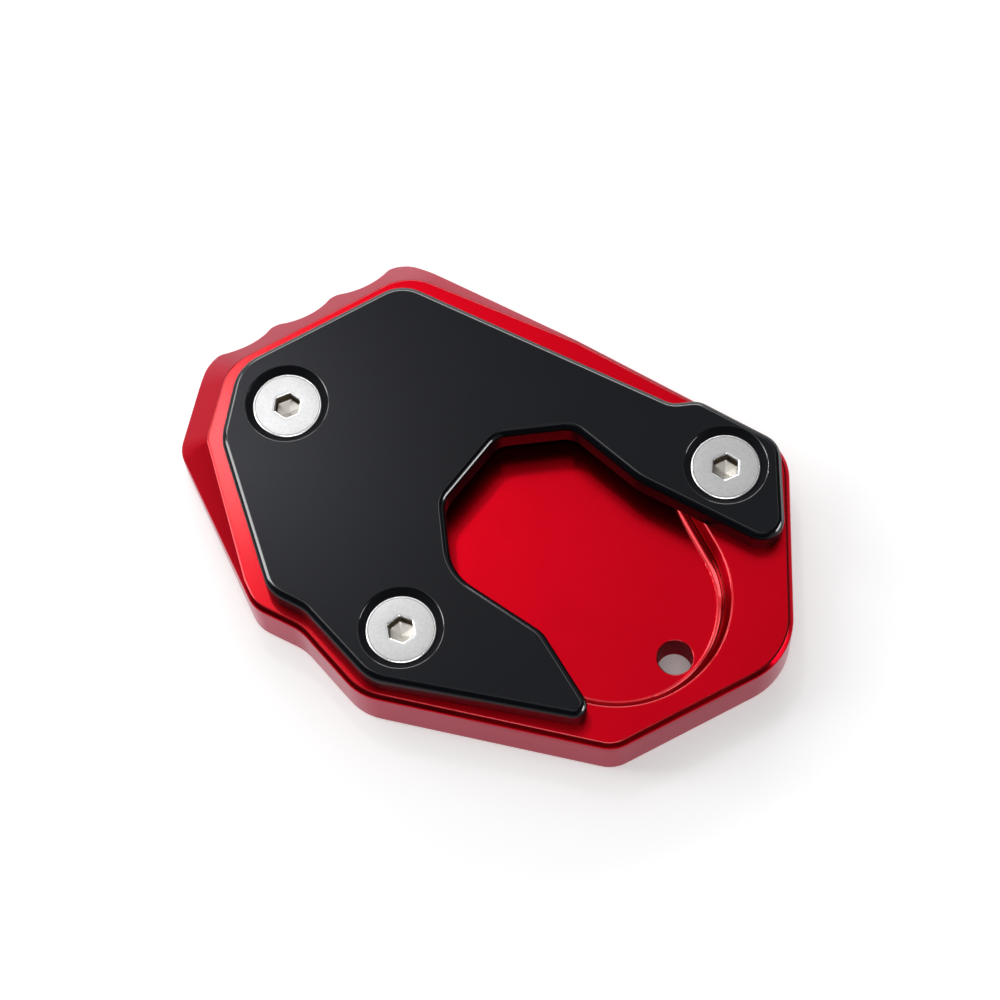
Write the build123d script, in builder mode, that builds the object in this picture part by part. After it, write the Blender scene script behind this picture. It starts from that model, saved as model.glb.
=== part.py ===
from build123d import *

import math
import os

# Kickstand foot enlarger: a wide base plate with a pocket for the stand's foot,
# and a clamp plate that three countersunk screws hold down over the foot.
# Millimetres, +Z up. The underside of the base plate is at z = 0.

# Plates
base_thickness = 11.5
clamp_thickness = 5.0
edge_chamfer = 0.8
underside_chamfer = 0.5

# Base plate seen from above: corners and their radii, clockwise from the left corner
base_left = (-52.75, 16.5)
base_upper_left = (-46.6, 34.05)
base_apex = (-10.1, 49.2)
base_right_back = (52.7, 2.1)
base_right_front = (48.2, -35.7)
base_front = (16.3, -48.3)
base_toe = (-25.2, -33.7)
base_bend = (-34.0, -21.0)
base_front_left = (-41.7, -15.9)
base_radii = [5.5, 7.0, 5.0, 8.5, 12.5, 6.0, 10.0, 9.0, 6.0]

# Wide slope on the left and back sides: corners of the top face where it starts.
# It fades out along the back side, towards slope_end, and at the front left corner.
slope_left = (-47.3, 16.2)
slope_upper_left = (-42.6, 29.7)
slope_apex = (-9.6, 43.7)
slope_end = (30.0, 19.8)
slope_radii = [3.0, 8.0, 9.0, 0.0]
slope_angle = 45.0
slope_drop = 6.5

# Scallops milled down the back left side
scallop_count = 3
scallop_pitch = 11.9
scallop_radius = 7.4
scallop_depth = 2.0
scallop_start = 7.35
scallop_crest_radius = 2.0

# Pocket for the stand's foot: round at both ends and wider under the clamp plate, its axis turned from +X
pocket_centre = (19.8, -21.4)
pocket_radius = 18.5
pocket_back_radius = 22.7
pocket_run = 22.0
pocket_angle = 122.0
pocket_depth = 4.5
pocket_rim_chamfer = 1.1
pocket_floor_fillet = 1.5

# Drain hole in the pocket's open end
drain_point = (28.6, -31.9)
drain_radius = 3.0

# Clamp plate seen from above: corners and radii, anticlockwise from the apex to the
# front tip, then back along the opening to the arm at the right
clamp_corners = [
    (-10.7, 40.0),
    (-40.6, 27.3),
    (-44.5, 13.9),
    (-38.5, -15.2),
    (-32.8, -19.1),
    (-23.1, -32.7),
    (14.4, -44.7),
    (6.7, -27.8),
    (-7.4, -15.4),
    (-7.4, -2.3),
    (2.9, 8.4),
    (15.9, 8.4),
    (25.8, -2.6),
    (48.9, -18.9),
    (50.9, 1.6),
    (38.1, 11.1),
    (33.4, 11.1),
]
clamp_radii = [7.0, 8.0, 8.0, 6.0, 6.0, 7.0, 2.2, 5.0, 9.0, 4.0, 4.0, 4.0, 12.0, 3.9, 4.8, 4.0, 4.0]

# Clamp screws: M6, countersunk at 90 degrees, with a hexagon socket
screw_points = [(-32.6, 18.8), (-16.8, -24.5), (41.0, -1.7)]
screw_turns = [17.0, 33.0, 19.0]
thread_radius = 3.0
screw_length = 10.0
screw_tip_chamfer = 0.7
head_radius = 6.0
head_edge = 0.2
head_land = 0.1
head_sink = 0.9
countersink_angle = 90.0
socket_sides = 6
socket_across_flats = 4.1
socket_depth = 2.5
socket_mouth = 0.4
drill_point_angle = 118.0

# Fits
seat_clearance = 0.02
thread_clearance = 0.05
shank_clearance = 0.3
tap_overrun = 1.2

# Heights and places worked out from the sizes above
total_height = base_thickness + clamp_thickness
pocket_floor = base_thickness - pocket_depth
slope_foot_height = base_thickness - slope_drop
slope_spread = slope_drop * math.tan(math.radians(slope_angle))
head_top = total_height - head_sink
tap_radius = thread_radius + thread_clearance
tap_depth = base_thickness - (head_top - screw_length) + tap_overrun
drill_point_slope = math.tan(math.radians(drill_point_angle / 2))
countersink_slope = math.tan(math.radians(countersink_angle / 2))
countersink_radius = head_radius + (head_sink + head_edge + head_land) * countersink_slope + seat_clearance
base_corners = [
    base_left,
    base_upper_left,
    base_apex,
    base_right_back,
    base_right_front,
    base_front,
    base_toe,
    base_bend,
    base_front_left,
]
slope_corners = [slope_left, slope_upper_left, slope_apex, slope_end]
plain_corners = base_corners[base_corners.index(base_right_back):]
plain_radii = [0.0] * len(plain_corners)
pocket_along = Vector(1, 0, 0).rotate(Axis.Z, pocket_angle)
pocket_plane = Plane(origin=(*pocket_centre, base_thickness), x_dir=pocket_along, z_dir=(0, 0, 1))

# Scallop centres stand off the back left wall, so that each cut keeps its depth
wall_start = Vector(*base_upper_left)
wall_along = (Vector(*base_apex) - wall_start).normalized()
wall_out = wall_along.rotate(Axis.Z, 90)
scallop_centres = [
    wall_start
    + wall_along * (scallop_start + index * scallop_pitch)
    + wall_out * (scallop_radius - scallop_depth)
    for index in range(scallop_count)
]

# Outline of the base plate's upright walls. Moving it in and out again rounds the scallops' crests
with BuildSketch() as base_outline:
    with BuildLine():
        FilletPolyline(*base_corners, radius=base_radii, close=True)
    make_face()
    with Locations(*scallop_centres):
        Circle(scallop_radius, mode=Mode.SUBTRACT)
    offset(amount=-scallop_crest_radius)
    offset(amount=scallop_crest_radius)

# Outline of the top face, spread as far out as the slope has come at its foot
with BuildSketch(Plane.XY.offset(slope_foot_height)) as slope_outline:
    with BuildLine():
        FilletPolyline(*base_corners, radius=base_radii, close=True)
    make_face()
    offset(amount=-edge_chamfer)
    with BuildLine():
        FilletPolyline(*slope_corners, *plain_corners, radius=slope_radii + plain_radii, close=True)
    make_face(mode=Mode.INTERSECT)
    offset(amount=slope_spread, kind=Kind.INTERSECTION)

# Sloping form that trims the upper part of the base plate
with BuildPart() as slope_form:
    extrude(slope_outline.sketch, amount=slope_drop, taper=slope_angle)

# Base plate
with BuildPart() as base_plate:
    with BuildSketch(Plane.XY.offset(slope_foot_height)):
        add(base_outline.sketch)
    extrude(amount=slope_drop)
    add(slope_form.part, mode=Mode.INTERSECT)
    extrude(base_outline.sketch, amount=slope_foot_height)
    chamfer(base_plate.faces().sort_by(Axis.Z)[0].edges(), underside_chamfer)
    # Foot pocket: upright wall, rounded into the floor and bevelled at the rim
    with BuildSketch(pocket_plane):
        Circle(pocket_radius)
        with Locations((pocket_run, 0)):
            Circle(pocket_back_radius)
        make_hull()
    extrude(amount=-pocket_depth, mode=Mode.SUBTRACT)
    floor_face = base_plate.faces().filter_by_position(Axis.Z, pocket_floor, pocket_floor)
    fillet(floor_face.edges(), pocket_floor_fillet)
    top_face = base_plate.faces().sort_by(Axis.Z)[-1]
    chamfer(top_face.inner_wires()[0].edges(), pocket_rim_chamfer)
    # Drain hole through the pocket floor
    with Locations((*drain_point, pocket_floor)):
        Hole(drain_radius)
    # Blind tapped holes, each ending in the drill's point
    with Locations(*[(x, y, base_thickness) for x, y in screw_points]):
        Hole(tap_radius, depth=tap_depth)
    with Locations(*[(x, y, base_thickness - tap_depth) for x, y in screw_points]):
        Cone(
            0,
            tap_radius,
            tap_radius / drill_point_slope,
            align=(Align.CENTER, Align.CENTER, Align.MAX),
            mode=Mode.SUBTRACT,
        )

# Clamp plate, open towards the front right, with countersunk holes
with BuildPart() as clamp_plate:
    with BuildSketch(Plane.XY.offset(base_thickness)):
        with BuildLine():
            FilletPolyline(*clamp_corners, radius=clamp_radii, close=True)
        make_face()
    extrude(amount=clamp_thickness)
    chamfer(clamp_plate.faces().sort_by(Axis.Z)[-1].edges(), edge_chamfer)
    with Locations(*[(x, y, total_height) for x, y in screw_points]):
        CounterSinkHole(
            thread_radius + shank_clearance,
            countersink_radius,
            counter_sink_angle=countersink_angle,
        )

# One clamp screw, with the top of its head at z = 0
head_foot = head_edge + head_land + (head_radius - thread_radius) / countersink_slope
with BuildPart() as clamp_screw:
    with BuildSketch(Plane.XZ):
        with BuildLine():
            Polyline(
                (0, 0),
                (head_radius - head_edge, 0),
                (head_radius, -head_edge),
                (head_radius, -head_edge - head_land),
                (thread_radius, -head_foot),
                (thread_radius, screw_tip_chamfer - screw_length),
                (thread_radius - screw_tip_chamfer, -screw_length),
                (0, -screw_length),
                close=True,
            )
        make_face()
    revolve(axis=Axis.Z)
    # Hexagon socket with a bevelled mouth and a drilled bottom
    with BuildSketch():
        RegularPolygon(socket_across_flats / 2, socket_sides, major_radius=False)
    extrude(amount=-socket_depth, mode=Mode.SUBTRACT)
    head_face = clamp_screw.faces().sort_by(Axis.Z)[-1]
    chamfer(head_face.inner_wires()[0].edges(), socket_mouth)
    with Locations((0, 0, -socket_depth)):
        Cone(
            0,
            socket_across_flats / 2,
            socket_across_flats / 2 / drill_point_slope,
            align=(Align.CENTER, Align.CENTER, Align.MAX),
            mode=Mode.SUBTRACT,
        )

# The three clamp screws, each turned as it was tightened
screw_places = [
    Location((x, y, head_top), (0, 0, turn))
    for (x, y), turn in zip(screw_points, screw_turns)
]
with BuildPart() as clamp_screws:
    with Locations(*screw_places):
        add(clamp_screw.part)

base_plate.part.label = "base_plate"
clamp_plate.part.label = "clamp_plate"
clamp_screws.part.label = "clamp_screws"
os.makedirs("parts", exist_ok=True)
export_step(base_plate.part, "parts/base_plate.step")
export_step(clamp_plate.part, "parts/clamp_plate.step")
export_step(clamp_screws.part, "parts/clamp_screws.step")
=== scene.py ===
import math

import bmesh
import bpy
from mathutils import Matrix, Vector


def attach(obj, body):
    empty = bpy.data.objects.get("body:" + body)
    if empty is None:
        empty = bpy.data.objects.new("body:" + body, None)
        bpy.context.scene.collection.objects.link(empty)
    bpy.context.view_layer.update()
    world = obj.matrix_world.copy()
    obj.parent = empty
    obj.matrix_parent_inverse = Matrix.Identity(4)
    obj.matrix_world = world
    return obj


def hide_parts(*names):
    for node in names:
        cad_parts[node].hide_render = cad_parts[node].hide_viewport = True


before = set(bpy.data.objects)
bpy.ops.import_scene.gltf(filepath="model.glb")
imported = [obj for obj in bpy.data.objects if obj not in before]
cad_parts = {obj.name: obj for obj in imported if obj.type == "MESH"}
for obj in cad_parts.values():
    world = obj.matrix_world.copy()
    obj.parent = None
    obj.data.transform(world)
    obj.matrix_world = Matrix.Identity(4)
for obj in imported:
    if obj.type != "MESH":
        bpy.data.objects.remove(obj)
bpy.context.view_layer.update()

scene = bpy.context.scene
scene.view_settings.view_transform = "Standard"
mm = 0.001

# axes of the screws and of the drain hole, as in the CAD
screwPoints = [
    (-32.6 * mm, 18.8 * mm),
    (-16.8 * mm, -24.5 * mm),
    (41.0 * mm, -1.7 * mm),
]
drainPoint = (28.6 * mm, -31.9 * mm)

# shared by the finishes: fine texture, patches of two shades, and how far up a surface looks
# where it is level, and where it is level or an eased edge
bumpHeight = 0.01 * mm
cloudDetail = 3.0
grainDetail = 2.0
patchBand = (0.3, 0.7)
levelBand = (0.985, 0.998)
easedBand = (0.74, 0.80)
print("frame loaded:", ", ".join(sorted(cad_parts)))


class Wire:
    # a node's output that can stand in Python sums
    def __init__(self, maker, socket):
        self.maker = maker
        self.socket = socket

    def out(self, name):
        # another output of the same node
        return Wire(self.maker, self.socket.node.outputs[name])

    def __neg__(self):
        return self.maker.maths("SUBTRACT", 0.0, self)

    def __add__(self, other):
        return self.maker.maths("ADD", self, other)

    def __radd__(self, other):
        return self.maker.maths("ADD", other, self)

    def __sub__(self, other):
        return self.maker.maths("SUBTRACT", self, other)

    def __rsub__(self, other):
        return self.maker.maths("SUBTRACT", other, self)

    def __mul__(self, other):
        return self.maker.maths("MULTIPLY", self, other)

    def __rmul__(self, other):
        return self.maker.maths("MULTIPLY", other, self)

    def __truediv__(self, other):
        return self.maker.maths("DIVIDE", self, other)

    def __rtruediv__(self, other):
        return self.maker.maths("DIVIDE", other, self)


class Maker:
    # adds nodes to one tree
    def __init__(self, tree):
        self.tree = tree
        tree.nodes.clear()

    def add(self, kind, settings=None, sockets=None, output=0):
        node = self.tree.nodes.new(kind)
        for name, value in (settings or {}).items():
            if name == "itemCount":
                while len(node.index_switch_items) < value:
                    node.index_switch_items.new()
            else:
                setattr(node, name, value)
        for key, value in (sockets or {}).items():
            if isinstance(value, Wire):
                self.tree.links.new(value.socket, node.inputs[key])
            else:
                node.inputs[key].default_value = value
        return Wire(self, node.outputs[output]) if len(node.outputs) else node

    def maths(self, operation, *values):
        return self.add("ShaderNodeMath", {"operation": operation}, dict(enumerate(values)))

    def product(self, wires):
        total = wires[0]
        for wire in wires[1:]:
            total = total * wire
        return total

    def between(self, value, low, high):
        # 0 below low, 1 above high, soft in between
        return self.add(
            "ShaderNodeMapRange",
            {"interpolation_type": "SMOOTHSTEP", "clamp": True},
            {"Value": value, "From Min": low, "From Max": high, "To Min": 0.0, "To Max": 1.0},
        )

    def limited(self, value):
        # held between 0 and 1
        return self.add("ShaderNodeClamp", None, {"Value": value, "Min": 0.0, "Max": 1.0})

    def split(self, vector):
        return self.add("ShaderNodeSeparateXYZ", None, {0: vector})

    def distance(self, place, point):
        return self.add("ShaderNodeVectorMath", {"operation": "DISTANCE"}, {0: place, 1: point}, output=1)

    def flattened(self, place):
        # the place with its height taken out
        return self.add("ShaderNodeVectorMath", {"operation": "MULTIPLY"}, {0: place, 1: (1.0, 1.0, 0.0)})

    def blendColour(self, mask, first, second):
        return self.add(
            "ShaderNodeMix",
            {"data_type": "RGBA", "blend_type": "MIX", "clamp_factor": True},
            {"Factor": mask, 6: first, 7: second},
            output=2,
        )

    def noise(self, place, size, detail, rough=0.5):
        # size is how big one patch of it is, in metres
        return self.add(
            "ShaderNodeTexNoise",
            {"noise_dimensions": "3D"},
            {"Vector": place, "Scale": 1.0 / size, "Detail": detail, "Roughness": rough},
        )

    def bump(self, height, strength):
        return self.add(
            "ShaderNodeBump", None, {"Strength": strength, "Distance": bumpHeight, "Height": height},
        )


def newMaterial(name):
    material = bpy.data.materials.new(name)
    material.use_nodes = True
    maker = Maker(material.node_tree)
    place = maker.add("ShaderNodeTexCoord", output=3)
    return material, maker, place


def facing(maker):
    # which way the surface looks, in the object's own axes
    return maker.split(maker.add("ShaderNodeTexCoord", output=1))


def finishMaterial(maker, settings):
    shader = maker.add("ShaderNodeBsdfPrincipled", None, settings)
    maker.add("ShaderNodeOutputMaterial", None, {"Surface": shader})


# red anodised finish

redFinish = {
    "colour": (0.47, 0.0008, 0.008, 1.0),
    "deepColour": (0.44, 0.0006, 0.007, 1.0),
    # painted shade on the walls and back slopes, for the dimmer light that they reflect
    "paintedWallShade": (0.31, 0.0006, 0.006, 1.0),
    "paintedBackShade": 0.6,                 # how far the back slopes go towards the walls' colour
    "edgeTint": (1.0, 0.78, 0.86, 1.0),
    "cloudSize": 14.0 * mm,
    "grainSize": 0.09 * mm,
    "grainBump": 0.05,
    "roughness": 0.31,
    "slopeRoughness": 0.20,
    "pocketRoughness": 0.24,
    "drainRoughness": 0.65,
    "roughnessShift": -0.03,
    "cloudRoughness": 0.04,
    "grainRoughness": 0.03,
    "flatCoat": 0.03,
    "leftCoat": 0.17,
    "edgeCoat": 0.9,
    "backCoat": 0.12,
    "coatRoughness": 0.14,
    "coatIndex": 1.5,
    "backBand": (0.45, 0.60),
    "wallBand": (0.20, 0.40),
    "filletBand": (0.10, 0.25),
    "leftReach": (10.0 * mm, 35.0 * mm),
    "pocketMiddle": (15.0 * mm, -18.0 * mm, 8.0 * mm),
    "pocketReach": (30.0 * mm, 34.0 * mm),
    "filletTop": (9.0 * mm, 9.4 * mm),
    "drainReach": (3.1 * mm, 3.3 * mm),
}


def makeRed():
    material, maker, place = newMaterial("redAnodised")
    cloud = maker.noise(place, redFinish["cloudSize"], cloudDetail)
    grain = maker.noise(place, redFinish["grainSize"], grainDetail)
    spot = maker.split(place)
    way = facing(maker)
    flat = maker.between(way.out("Z"), *levelBand)
    tilted = maker.between(way.out("Z"), *easedBand)
    backwards = maker.between(way.out("Y"), *redFinish["backBand"]) * (1.0 - tilted)
    upright = 1.0 - maker.between(maker.maths("ABSOLUTE", way.out("Z")), *redFinish["wallBand"])
    left = maker.between(-spot.out("X"), *redFinish["leftReach"])
    low = 1.0 - maker.between(spot.out("Z"), *redFinish["filletTop"])
    away = maker.distance(place, redFinish["pocketMiddle"])
    inPocket = 1.0 - maker.between(away, *redFinish["pocketReach"])
    fillet = inPocket * low * (maker.between(way.out("Z"), *redFinish["filletBand"]) - tilted)
    beside = maker.distance(maker.flattened(place), (*drainPoint, 0.0))
    drain = (1.0 - maker.between(beside, *redFinish["drainReach"])) * (1.0 - tilted)

    # painted shade: walls and back slopes are darker in colour, for the dimmer light that they reflect
    patches = maker.between(cloud, *patchBand)
    colour = maker.blendColour(patches, redFinish["deepColour"], redFinish["colour"])
    paintedShade = upright + redFinish["paintedBackShade"] * backwards
    colour = maker.blendColour(paintedShade, colour, redFinish["paintedWallShade"])

    # level faces are glossier at the left, and the pocket's rounded edge is as glossy as the eased edges
    leftGain = redFinish["leftCoat"] - redFinish["flatCoat"]
    coat = (redFinish["flatCoat"] + leftGain * left) * flat
    coat = coat + redFinish["edgeCoat"] * (tilted - flat + fillet) + redFinish["backCoat"] * backwards

    # outer slopes, outer walls and the pocket's floor are smoother, and the drain hole's wall is rough
    slopeGain = redFinish["roughness"] - redFinish["slopeRoughness"]
    pocketGain = redFinish["roughness"] - redFinish["pocketRoughness"]
    drainGain = redFinish["drainRoughness"] - redFinish["pocketRoughness"]
    rough = redFinish["slopeRoughness"] + slopeGain * maker.maths("MAXIMUM", tilted, inPocket)
    rough = rough - pocketGain * inPocket * low + drainGain * drain + redFinish["roughnessShift"]
    rough = rough + redFinish["cloudRoughness"] * cloud + redFinish["grainRoughness"] * grain
    finishMaterial(maker, {
        "Base Color": colour,
        "Metallic": 1.0,
        "Specular Tint": redFinish["edgeTint"],
        "Roughness": rough,
        "Coat Weight": coat,
        "Coat Roughness": redFinish["coatRoughness"],
        "Coat IOR": redFinish["coatIndex"],
        "Normal": maker.bump(grain, redFinish["grainBump"]),
    })
    return material


# black anodised finish

blackFinish = {
    "colour": (0.0041, 0.0046, 0.0064, 1.0),
    "deepColour": (0.0034, 0.0039, 0.0055, 1.0),
    "sheen": (0.90, 0.91, 1.0, 1.0),
    "cloudSize": 12.0 * mm,
    "grainSize": 0.08 * mm,
    "grainBump": 0.05,
    "roughness": 0.23,
    "holeRoughness": 0.4,             # added in the countersinks
    "roughnessShift": -0.02,
    "cloudRoughness": 0.03,
    "grainRoughness": 0.02,
    "gloss": 0.132,
    "edgeCoat": 1.0,
    "sideCoat": 0.85,
    "coatRoughness": 0.12,
    "coatIndex": 2.0,
    "forwardWay": (0.3, -1.0),
    "forwardBand": (0.05, 0.20),
    "sideWay": (0.86, -0.5),
    "sideBand": (0.45, 0.60),
    "chamferBand": (0.55, 0.62),
    "holeReach": (7.0 * mm, 7.15 * mm),
}


def makeBlack():
    material, maker, place = newMaterial("blackAnodised")
    cloud = maker.noise(place, blackFinish["cloudSize"], cloudDetail)
    grain = maker.noise(place, blackFinish["grainSize"], grainDetail)
    way = facing(maker)
    flat = maker.between(way.out("Z"), *levelBand)
    tilted = maker.between(way.out("Z"), *easedBand)
    patches = maker.between(cloud, *patchBand)
    colour = maker.blendColour(patches, blackFinish["deepColour"], blackFinish["colour"])

    # the countersinks are duller than the rest
    spot = maker.flattened(place)
    outside = maker.product([
        maker.between(maker.distance(spot, (*point, 0.0)), *blackFinish["holeReach"])
        for point in screwPoints
    ])
    hole = (1.0 - outside) * (1.0 - tilted)
    rough = blackFinish["roughness"] + blackFinish["roughnessShift"] + blackFinish["cloudRoughness"] * cloud
    rough = rough + blackFinish["grainRoughness"] * grain + blackFinish["holeRoughness"] * hole

    # eased edges that look forward are dull, and chamfers that look right and forward are polished
    forwardX, forwardY = blackFinish["forwardWay"]
    forward = maker.between(way.out("X") * forwardX + way.out("Y") * forwardY, *blackFinish["forwardBand"])
    eased = (tilted - flat) * (1.0 - forward)
    sideX, sideY = blackFinish["sideWay"]
    side = maker.between(way.out("X") * sideX + way.out("Y") * sideY, *blackFinish["sideBand"])
    chamfer = maker.between(way.out("Z"), *blackFinish["chamferBand"]) * (1.0 - tilted)
    side = side * chamfer * outside
    finishMaterial(maker, {
        "Base Color": colour,
        "Metallic": 0.0,
        "Roughness": rough,
        "Specular IOR Level": blackFinish["gloss"],
        "Specular Tint": blackFinish["sheen"],
        "Coat Weight": blackFinish["edgeCoat"] * eased + blackFinish["sideCoat"] * side,
        "Coat Roughness": blackFinish["coatRoughness"],
        "Coat IOR": blackFinish["coatIndex"],
        "Normal": maker.bump(grain, blackFinish["grainBump"]),
    })
    return material


# satin steel finish: its radii and heights start from the middle of a screw's head

steelFinish = {
    "colour": (0.45, 0.45, 0.455, 1.0),
    "dull": (0.41, 0.41, 0.415, 1.0),
    # painted shade in the groove inside the rim
    "paintedGrooveShade": (0.16, 0.16, 0.16, 1.0),
    # partly a painted highlight: the polished rim and socket mouth are painted brighter
    "polishAndHighlight": (0.95, 0.95, 0.95, 1.0),
    # painted shade on the socket's walls and a painted highlight on its floor
    "paintedSocketShade": (0.15, 0.125, 0.09, 1.0),
    "paintedSocketLight": (0.74, 0.70, 0.64, 1.0),
    "cloudSize": 3.0 * mm,
    "grainSize": 0.12 * mm,
    "scuffSize": 0.5 * mm,
    "scuffDetail": 5.0,
    "scuffRough": 0.65,
    "scuffBand": (0.40, 0.62),
    "ringPitch": 0.16 * mm,
    "textureBump": 0.12,
    "roughness": 0.33,
    "polishedRoughness": 0.24,
    "roughnessShift": -0.03,
    "cloudRoughness": 0.06,
    "headFace": (-0.30 * mm, -0.26 * mm),
    "rimFrom": (5.64 * mm, 5.69 * mm),
    "grooveFrom": (5.52 * mm, 5.55 * mm),
    "mouthFrom": (2.03 * mm, 2.06 * mm),
    "mouthTo": (2.33 * mm, 2.36 * mm),
    "socketTop": (-0.40 * mm, -0.32 * mm),
    "socketSide": (2.5 * mm, 2.6 * mm),
    "socketFoot": (-2.42 * mm, -2.36 * mm),
}


def makeSteel():
    material, maker, place = newMaterial("satinSteel")
    onScrew = maker.add("ShaderNodeAttribute", {"attribute_name": "onScrew"}, output=1)
    spot = maker.split(onScrew)
    height = spot.out("Z")
    radius = maker.distance(maker.flattened(onScrew), (0.0, 0.0, 0.0))
    cloud = maker.noise(place, steelFinish["cloudSize"], cloudDetail)
    grain = maker.noise(place, steelFinish["grainSize"], grainDetail)
    scuff = maker.noise(
        place, steelFinish["scuffSize"], steelFinish["scuffDetail"], steelFinish["scuffRough"],
    )
    ring = radius / steelFinish["ringPitch"]
    rings = maker.add("ShaderNodeTexNoise", {"noise_dimensions": "1D"}, {"W": ring, "Scale": 1.0})

    # polished rim, painted brighter as a highlight, and the groove inside it, painted dark as shade
    top = maker.between(height, *steelFinish["headFace"])
    rim = maker.between(radius, *steelFinish["rimFrom"]) * top
    paintedGrooveShade = maker.between(radius, *steelFinish["grooveFrom"]) * top - rim
    paintedGrooveShade = maker.maths("MAXIMUM", paintedGrooveShade, 0.0)

    # polished mouth of the socket, painted brighter as a highlight: the six-sided distance is the same all
    # along its flats
    turned = maker.maths("ARCTAN2", spot.out("Y"), spot.out("X"))
    wedge = maker.maths("FLOORED_MODULO", turned, math.pi / 3) - math.pi / 6
    flats = radius * maker.maths("COSINE", wedge)
    mouth = maker.between(flats, *steelFinish["mouthFrom"]) - maker.between(flats, *steelFinish["mouthTo"])
    polishAndHighlight = maker.maths("MAXIMUM", rim, mouth * top)

    # inside of the socket: painted shade on its walls and a painted highlight on its floor
    under = 1.0 - maker.between(height, *steelFinish["socketTop"])
    inSocket = under * (1.0 - maker.between(radius, *steelFinish["socketSide"]))
    floor = (1.0 - maker.between(height, *steelFinish["socketFoot"])) * inSocket

    scuffed = maker.between(scuff, *steelFinish["scuffBand"])
    colour = maker.blendColour(scuffed, steelFinish["colour"], steelFinish["dull"])
    # painted highlight on the polished rim and the socket's mouth
    colour = maker.blendColour(polishAndHighlight, colour, steelFinish["polishAndHighlight"])
    # painted shade in the groove inside the rim
    colour = maker.blendColour(paintedGrooveShade, colour, steelFinish["paintedGrooveShade"])
    # painted shade on the socket's walls and a painted highlight on its floor
    colour = maker.blendColour(inSocket, colour, steelFinish["paintedSocketShade"])
    colour = maker.blendColour(floor, colour, steelFinish["paintedSocketLight"])
    satin = steelFinish["roughness"] + steelFinish["roughnessShift"] + steelFinish["cloudRoughness"] * cloud
    finishMaterial(maker, {
        "Base Color": colour,
        "Metallic": 1.0,
        "Roughness": satin + (steelFinish["polishedRoughness"] - satin) * polishAndHighlight,
        "Normal": maker.bump((grain + rings) * 0.5, steelFinish["textureBump"]),
    })
    return material


redAnodised = makeRed()
blackAnodised = makeBlack()
satinSteel = makeSteel()
print("finishes made")


# plates: the CAD's own solids with their edges eased

plateEdges = {
    "mergeWithin": 0.002 * mm,
    "flatWithin": math.radians(0.1),
    "easeOver": math.radians(30),
    "smoothUnder": math.radians(6),
    "squareWithin": math.radians(60),
    "room": 1.5,                      # faces narrower than this many eased edges are slivers
    "segments": 3,
    "fineReach": 7.6 * mm,            # fine edges lie this near a screw's axis
    "fineBelow": 0.6 * mm,            # or this near the plate's underside
}
footPlateSizes = {
    "edge": 0.26 * mm,
    "fineEdge": 0.26 * mm,
}
topClampSizes = {
    "edge": 0.38 * mm,
    "fineEdge": 0.13 * mm,
}


def joinFacets(shape):
    # the CAD's triangles become as few faces as its flat and smooth surfaces allow
    bmesh.ops.remove_doubles(shape, verts=shape.verts, dist=plateEdges["mergeWithin"])
    bmesh.ops.dissolve_limit(
        shape,
        angle_limit=plateEdges["flatWithin"],
        use_dissolve_boundaries=False,
        verts=shape.verts,
        edges=shape.edges,
    )
    bmesh.ops.join_triangles(
        shape,
        faces=[face for face in shape.faces if len(face.verts) == 3],
        angle_face_threshold=plateEdges["smoothUnder"],
        angle_shape_threshold=plateEdges["squareWithin"],
    )


def joinSlivers(shape, width):
    # slivers beside a sharp edge join the face behind them, so that the eased edge has room
    behind = []
    for face in shape.faces:
        longest = max(face.edges, key=lambda edge: edge.calc_length())
        narrow = 2 * face.calc_area() < plateEdges["room"] * width * longest.calc_length()
        beside = any(edge.calc_face_angle() > plateEdges["easeOver"] for edge in face.edges)
        smooth = longest.calc_face_angle() < plateEdges["smoothUnder"]
        if narrow and beside and smooth and longest not in behind:
            behind.append(longest)
    bmesh.ops.dissolve_edges(shape, edges=behind, use_verts=False)


def weighEdges(shape, sizes):
    # each sharp edge's share of the full easing
    underside = min(corner.co.z for corner in shape.verts)
    share = shape.edges.layers.float.new("bevel_weight_edge")
    for edge in shape.edges:
        if edge.calc_face_angle() > plateEdges["easeOver"]:
            middle = (edge.verts[0].co + edge.verts[1].co) / 2
            away = min(math.hypot(middle.x - x, middle.y - y) for x, y in screwPoints)
            fine = away < plateEdges["fineReach"] or middle.z < underside + plateEdges["fineBelow"]
            edge[share] = sizes["fineEdge"] / sizes["edge"] if fine else 1.0


def evenShading(piece):
    even = piece.modifiers.new("evenShading", "WEIGHTED_NORMAL")
    even.mode = "FACE_AREA"
    even.weight = 50


def easedPlate(nodeName, pieceName, material, sizes):
    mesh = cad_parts[nodeName].data.copy()
    mesh.name = pieceName
    shape = bmesh.new()
    shape.from_mesh(mesh)
    joinFacets(shape)
    joinSlivers(shape, sizes["edge"])
    weighEdges(shape, sizes)
    for face in shape.faces:
        face.smooth = True
    shape.to_mesh(mesh)
    shape.free()
    mesh.materials.clear()
    mesh.materials.append(material)
    piece = bpy.data.objects.new(pieceName, mesh)
    scene.collection.objects.link(piece)
    ease = piece.modifiers.new("easedEdges", "BEVEL")
    ease.limit_method = "WEIGHT"
    ease.width = sizes["edge"]
    ease.segments = plateEdges["segments"]
    ease.use_clamp_overlap = False
    ease.miter_outer = "MITER_SHARP"
    evenShading(piece)
    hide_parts(nodeName)
    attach(piece, "root")
    return piece


footPlate = easedPlate("base_plate", "footPlate", redAnodised, footPlateSizes)
topClamp = easedPlate("clamp_plate", "topClamp", blackAnodised, topClampSizes)
print("plates eased:", len(footPlate.data.polygons), "and", len(topClamp.data.polygons), "faces")


# clamp screws: one turned and threaded screw, set on three points

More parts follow.
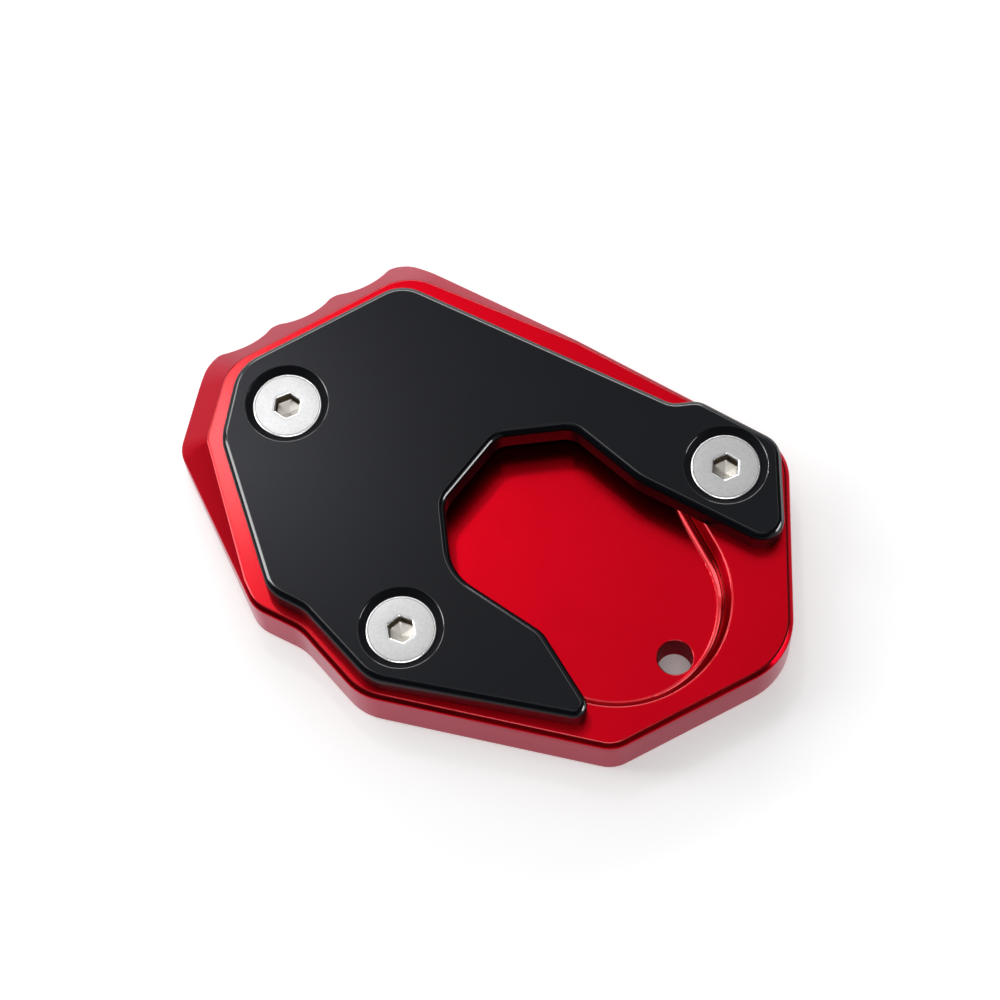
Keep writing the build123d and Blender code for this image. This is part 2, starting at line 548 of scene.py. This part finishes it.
screwSizes = {
    "turns": [17.0, 33.0, 19.0],      # degrees
    "headTop": 15.6 * mm,
    "segments": 72,
    "threadRows": 48,
    "soft": 0.05 * mm,                # width of the eased edges
    "tip": 0.6 * mm,
    "runOut": 0.3 * mm,               # from the head to the thread
    "mouthEase": 0.3 * mm,            # from the socket's mouth to round rows
    "pointSlope": 0.22,               # of the shallow point in the socket's floor
    "pointEase": 0.08,                # share of that point that is eased, at its tip and its foot
    "roundFrom": 0.62,                # share of the head's radius where its rows are round
    "flankGain": 1.3,                 # steeper flanks leave a flat crest and root
    "flankShift": 0.15,
    "fadeGain": 9.0,                  # the thread fades in over one part in this many
    "mergeWithin": 0.001 * mm,
    # inputs of the node tree
    "inputs": {
        "Head Radius": 6.0 * mm,
        "Rim Width": 0.34 * mm,
        "Rim Drop": 0.2 * mm,
        "Rim Land": 0.1 * mm,
        "Groove Width": 0.07 * mm,
        "Groove Depth": 0.04 * mm,
        "Socket Flats": 4.1 * mm,
        "Socket Depth": 2.5 * mm,
        "Mouth Bevel": 0.36 * mm,
        "Mouth Drop": 0.05 * mm,
        "Thread Radius": 3.0 * mm,
        "Thread Depth": 0.55 * mm,
        "Thread Pitch": 1.0 * mm,
        "Screw Length": 10.0 * mm,
    },
}


def pick(maker, row, items):
    return maker.add(
        "GeometryNodeIndexSwitch",
        {"data_type": "FLOAT", "itemCount": len(items)},
        {0: row, **{1 + index: item for index, item in enumerate(items)}},
    )


def screwProfile(given):
    # rows from the socket's point up over the head and down the shank: radius, height, six-sidedness
    head = given.out("Head Radius")
    rimDrop = given.out("Rim Drop")
    grooveWidth = given.out("Groove Width")
    landFoot = rimDrop + given.out("Rim Land")
    flat = given.out("Socket Flats") * 0.5
    depth = given.out("Socket Depth")
    mouth = given.out("Mouth Bevel")
    mouthDrop = given.out("Mouth Drop")
    thread = given.out("Thread Radius")
    length = given.out("Screw Length")
    core = thread - given.out("Thread Depth")
    neck = landFoot + head - thread          # a 90 degree countersunk head
    soft = screwSizes["soft"]
    tip = screwSizes["tip"]
    runOut = screwSizes["runOut"]
    threadLength = length - neck - tip - runOut
    point = flat * screwSizes["pointSlope"]
    pointEase = screwSizes["pointEase"]
    pointRest = 1.0 - pointEase
    lip = soft * 0.2                         # how far an eased edge drops
    grooveEdge = head - given.out("Rim Width")
    upper = [
        (0.0, -depth - point, 1.0),
        (flat * pointEase, -depth - point * pointRest, 1.0),
        (flat * pointRest, -depth - point * pointEase, 1.0),
        (flat - soft, -depth, 1.0),
        (flat, soft - depth, 1.0),
        (flat, -mouthDrop - soft, 1.0),
        (flat + soft, -mouthDrop + lip, 1.0),
        (flat + mouth - soft, -lip, 1.0),
        (flat + mouth + soft, 0.0, 1.0),
        (flat + mouth + screwSizes["mouthEase"], 0.0, 0.7),
        (head * screwSizes["roundFrom"], 0.0, 0.0),
        (grooveEdge - grooveWidth, 0.0, 0.0),
        (grooveEdge - grooveWidth * 0.5, -given.out("Groove Depth"), 0.0),
        (grooveEdge, -lip * 0.5, 0.0),
        (grooveEdge + soft, -lip, 0.0),
        (head - soft * 2.0, -(rimDrop * 0.24), 0.0),
        (head - soft * 0.4, -(rimDrop * 0.5), 0.0),
        (head, -rimDrop, 0.0),
        (head, -landFoot, 0.0),
        (head - soft, -landFoot - soft, 0.0),
        (thread + soft, soft - neck, 0.0),
        (thread - soft, -neck - soft, 0.0),
        (core, -neck - runOut, 0.0),
    ]
    lower = [
        (core - soft, -neck - runOut - soft, 0.0),
        (core - tip * 0.7, -length + threadLength + soft, 0.0),
        (core - tip * 0.8, -length + threadLength, 0.0),
        (0.0, -length + threadLength, 0.0),
    ]
    return upper, lower, threadLength


def threadRidge(maker, given, down, height, angle):
    # right hand thread, run out at both ends
    phase = maker.maths("FLOORED_MODULO", height / given.out("Thread Pitch") - angle / (2 * math.pi), 1.0)
    ridge = maker.maths("ABSOLUTE", phase * 2.0 - 1.0)
    ridge = maker.limited(ridge * screwSizes["flankGain"] - screwSizes["flankShift"])
    fade = maker.limited(maker.maths("MINIMUM", down, 1.0 - down) * screwSizes["fadeGain"])
    return given.out("Thread Depth") * ridge * fade


def makeScrewTree():
    tree = bpy.data.node_groups.new("clampScrewTree", "GeometryNodeTree")
    tree.interface.new_socket(name="Geometry", in_out="INPUT", socket_type="NodeSocketGeometry")
    for name in screwSizes["inputs"]:
        tree.interface.new_socket(name=name, in_out="INPUT", socket_type="NodeSocketFloat")
    tree.interface.new_socket(name="Finish", in_out="INPUT", socket_type="NodeSocketMaterial")
    tree.interface.new_socket(name="Geometry", in_out="OUTPUT", socket_type="NodeSocketGeometry")
    maker = Maker(tree)
    given = maker.add("NodeGroupInput")
    upper, lower, threadLength = screwProfile(given)
    rows = upper + lower
    threadRows = screwSizes["threadRows"]
    firstThread = len(upper) - 1
    lastThread = firstThread + threadRows
    rowCount = len(rows) + threadRows

    # a flat grid is rolled up: its X counts the rows and its Y goes round
    grid = maker.add("GeometryNodeMeshGrid", None, {
        "Size X": 1.0,
        "Size Y": 1.0,
        "Vertices X": rowCount,
        "Vertices Y": screwSizes["segments"] + 1,
    })
    across = maker.split(maker.add("GeometryNodeInputPosition"))
    row = maker.maths("ROUND", (across.out("X") + 0.5) * (rowCount - 1))
    angle = (across.out("Y") + 0.5) * (2 * math.pi)
    down = maker.limited((row - firstThread) / threadRows)
    listed = maker.maths("MINIMUM", row, firstThread) + maker.maths("MAXIMUM", row - lastThread, 0.0)
    radius = pick(maker, listed, [entry[0] for entry in rows])
    height = pick(maker, listed, [entry[1] for entry in rows]) - threadLength * down
    sided = pick(maker, listed, [entry[2] for entry in rows])

    # six flats: a corner every 60 degrees
    wedge = maker.maths("MODULO", angle, math.pi / 3) - math.pi / 6
    stretch = 1.0 / maker.maths("COSINE", wedge)
    radius = radius * (1.0 + sided * (stretch - 1.0))
    radius = radius + threadRidge(maker, given, down, height, angle)

    place = maker.add("ShaderNodeCombineXYZ", None, {
        "X": radius * maker.maths("COSINE", angle),
        "Y": radius * maker.maths("SINE", angle),
        "Z": height,
    })
    body = maker.add("GeometryNodeSetPosition", None, {"Geometry": grid, "Position": place})
    body = maker.add(
        "GeometryNodeMergeByDistance", None, {"Geometry": body, "Distance": screwSizes["mergeWithin"]},
    )
    body = maker.add("GeometryNodeSetShadeSmooth", None, {"Geometry": body, "Shade Smooth": True})
    body = maker.add(
        "GeometryNodeStoreNamedAttribute",
        {"data_type": "FLOAT_VECTOR", "domain": "POINT"},
        {"Geometry": body, "Name": "onScrew", "Value": maker.add("GeometryNodeInputPosition")},
    )
    turn = maker.add("GeometryNodeInputNamedAttribute", {"data_type": "FLOAT"}, {"Name": "turn"})
    spin = maker.add("ShaderNodeCombineXYZ", None, {"Z": turn})
    copies = maker.add("GeometryNodeInstanceOnPoints", None, {
        "Points": given.out("Geometry"),
        "Instance": body,
        "Rotation": spin,
    })
    real = maker.add("GeometryNodeRealizeInstances", None, {"Geometry": copies})
    done = maker.add("GeometryNodeSetMaterial", None, {"Geometry": real, "Material": given.out("Finish")})
    maker.add("NodeGroupOutput", None, {"Geometry": done})
    return tree


def plainMesh(holder, name):
    # the evaluated shape as a mesh of its own
    graph = bpy.context.evaluated_depsgraph_get()
    shown = holder.evaluated_get(graph)
    mesh = bpy.data.meshes.new_from_object(shown, preserve_all_data_layers=True, depsgraph=graph)
    mesh.name = name
    return mesh


def makeScrews():
    places = [(*point, screwSizes["headTop"]) for point in screwPoints]
    mesh = bpy.data.meshes.new("clampScrews")
    mesh.from_pydata(places, [], [])
    turns = mesh.attributes.new("turn", "FLOAT", "POINT")
    for entry, turn in zip(turns.data, screwSizes["turns"]):
        entry.value = math.radians(turn)
    piece = bpy.data.objects.new("clampScrews", mesh)
    tree = makeScrewTree()
    layer = piece.modifiers.new("screws", "NODES")
    layer.node_group = tree
    values = {**screwSizes["inputs"], "Finish": satinSteel}
    for item in tree.interface.items_tree:
        if item.in_out == "INPUT" and item.name in values:
            layer[item.identifier] = values[item.name]
    scene.collection.objects.link(piece)
    solid = plainMesh(piece, "clampScrews")
    piece.modifiers.remove(layer)
    piece.data = solid
    bpy.data.meshes.remove(mesh)
    evenShading(piece)
    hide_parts("clamp_screws")
    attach(piece, "root")
    return piece


clampScrews = makeScrews()
print("screws made:", len(clampScrews.data.polygons), "faces")


# studio: pale floor, soft lamps and a dim room

studio = {
    "floorColour": (0.86, 0.86, 0.86, 1.0),
    "floorRadius": 6.0,
    "floorSegments": 96,
    "floorLift": 0.42,
    # painted shadow: where the floor's glow is lower, under the drain hole and around the part's front
    # right: middle, reach and share of the glow left
    "shades": [
        (drainPoint, (5.0 * mm, 9.0 * mm), 0.22),
        ((12.0 * mm, -22.0 * mm), (50.0 * mm, 85.0 * mm), 0.92),
    ],
    "roomLevel": 0.09,
    "horizonLevel": 0.25,
    "horizonBand": (0.05, 0.18),
    # direction from the part, distance and size in metres, and brightness
    "lamps": {
        "overheadLamp": ((-0.10, 0.42, 0.90), 1.2, (1.3, 1.0), 0.96),
        "glintLamp": ((-0.126, 0.421, 0.898), 1.2, (0.018, 0.10), 120.0),
        "leftLamp": ((-0.80, 0.20, 0.57), 1.1, (0.35, 0.91), 4.2),
        "upperLeftLamp": ((-0.62, 0.60, 0.50), 1.1, (0.35, 0.3), 3.2),
        "backLamp": ((0.0, 0.87, 0.50), 1.2, (1.0, 0.25), 4.5),
        "rightLamp": ((0.93, -0.30, 0.20), 1.1, (0.6, 0.22), 6.0),
        "frontLamp": ((0.0, -0.30, 0.95), 1.2, (0.6, 0.3), 4.0),
    },
}


def makeFloor():
    disc = bmesh.new()
    bmesh.ops.create_circle(
        disc, cap_ends=True, segments=studio["floorSegments"], radius=studio["floorRadius"],
    )
    mesh = bpy.data.meshes.new("studioFloor")
    disc.to_mesh(mesh)
    disc.free()
    floor = bpy.data.objects.new("studioFloor", mesh)
    scene.collection.objects.link(floor)
    material, maker, place = newMaterial("paleFloor")
    light = maker.add("ShaderNodeLightPath")
    seen = maker.maths("MAXIMUM", light.out("Is Camera Ray"), light.out("Is Glossy Ray"))
    seen = maker.maths("MAXIMUM", seen, light.out("Is Transmission Ray"))
    lift = studio["floorLift"]
    # painted shadow: the floor's glow is lowered under the drain hole and around the part
    for point, reach, least in studio["shades"]:
        away = maker.distance(place, (*point, 0.0))
        lift = lift * (least + (1.0 - least) * maker.between(away, *reach))
    matt = maker.add("ShaderNodeBsdfDiffuse", None, {"Color": studio["floorColour"]})
    glow = maker.add("ShaderNodeEmission", None, {"Strength": lift * seen})
    both = maker.add("ShaderNodeAddShader", None, {0: matt, 1: glow})
    maker.add("ShaderNodeOutputMaterial", None, {"Surface": both})
    mesh.materials.append(material)


def makeLamp(name, direction, distance, size, level):
    data = bpy.data.lights.new(name, "AREA")
    data.shape = "RECTANGLE"
    data.size, data.size_y = size
    data.energy = math.pi * level * data.size * data.size_y
    lamp = bpy.data.objects.new(name, data)
    towards = Vector(direction).normalized()
    lamp.location = towards * distance
    lamp.rotation_euler = towards.to_track_quat("Z", "Y").to_euler()
    lamp.visible_camera = False
    scene.collection.objects.link(lamp)


def makeRoom():
    world = bpy.data.worlds.new("studioRoom")
    world.use_nodes = True
    maker = Maker(world.node_tree)
    way = maker.split(maker.add("ShaderNodeTexCoord", output=0))
    up = maker.between(way.out("Z"), *studio["horizonBand"])
    level = studio["horizonLevel"] + (studio["roomLevel"] - studio["horizonLevel"]) * up
    glow = maker.add("ShaderNodeBackground", None, {"Strength": level})
    maker.add("ShaderNodeOutputWorld", None, {"Surface": glow})
    scene.world = world


makeFloor()
for lampName, lampSettings in studio["lamps"].items():
    makeLamp(lampName, *lampSettings)
makeRoom()
print("studio lit")


# camera at the photograph's angle

view = {
    "lens": 100.8,
    "sensor": 36.0,
    "nearest": 0.01,
    "azimuth": -1.4,
    "elevation": 67.4,
    "roll": 5.05,
    "distance": 0.4756,
    "target": (2.1 * mm, -3.6 * mm, 16.5 * mm),
}


def makeCamera():
    turn = math.radians(view["azimuth"])
    rise = math.radians(view["elevation"])
    roll = math.radians(view["roll"])
    back = Vector((math.sin(turn) * math.cos(rise), -math.cos(turn) * math.cos(rise), math.sin(rise)))
    right = Vector((math.cos(turn), math.sin(turn), 0.0))
    up = back.cross(right)
    across = right * math.cos(roll) - up * math.sin(roll)
    upright = right * math.sin(roll) + up * math.cos(roll)
    data = bpy.data.cameras.new("studioCamera")
    data.sensor_width = view["sensor"]
    data.lens = view["lens"]
    data.clip_start = view["nearest"]
    camera = bpy.data.objects.new("studioCamera", data)
    pose = Matrix((across, upright, back)).transposed().to_4x4()
    pose.translation = Vector(view["target"]) + back * view["distance"]
    camera.matrix_world = pose
    scene.collection.objects.link(camera)
    scene.camera = camera


makeCamera()
print("camera placed")
